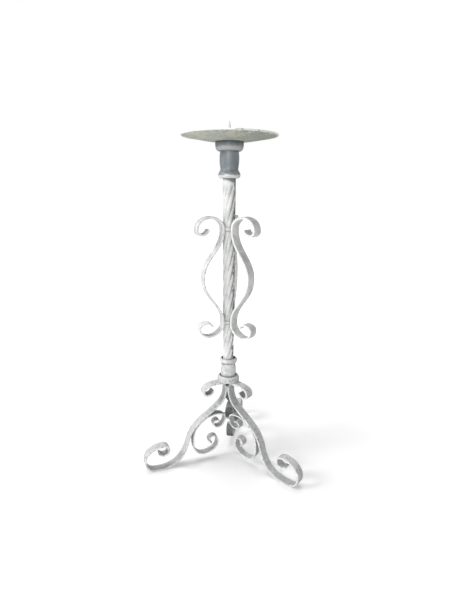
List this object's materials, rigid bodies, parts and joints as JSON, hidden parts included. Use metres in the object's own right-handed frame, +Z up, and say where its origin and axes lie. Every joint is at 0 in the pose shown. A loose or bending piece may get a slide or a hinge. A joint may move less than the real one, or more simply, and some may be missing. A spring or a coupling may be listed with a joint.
{
  "type": "torchere candle stand",
  "caption": "Tall wrought-iron torchere candle stand: scrolled legs and braces, a twisted column with flat scrolls, and a round drip pan with a spike.",
  "frame": {"origin": "on the column's axis at the floor that the feet stand on", "axes": "+Z up along the column and spike; +Y towards the rear leg; +X to the right, midway over the right leg's side"},
  "size_m": [0.5008, 0.4336, 0.9266],
  "materials": {
    "white_paint": "chalky worn white paint over forged iron",
    "grey_iron": "bare blue-grey cast iron, satin",
    "aged_zinc": "aged olive-grey zinc coat with pale flaking patches",
    "pale_spike": "worn white paint",
    "dark_steel": "dull oiled steel"
  },
  "bodies": {
    "root": {"pricket_spike": "pale_spike", "spike_washer": "aged_zinc", "drip_pan": "aged_zinc", "spike_nut": "dark_steel", "upper_socket": "grey_iron", "twisted_column": "white_paint", "scroll_left": "white_paint", "scroll_right": "white_paint", "scroll_rear": "white_paint", "scroll_welds": "white_paint", "lower_socket": "white_paint", "stud_nut": "dark_steel", "core_stud": "dark_steel", "leg_left": "white_paint", "leg_right": "white_paint", "leg_rear": "white_paint", "waist_welds": "white_paint", "socket_welds": "white_paint", "brace_left": "white_paint", "brace_right": "white_paint", "brace_rear": "white_paint", "hub_welds": "white_paint", "brace_welds": "white_paint"}
  },
  "joints": []
}
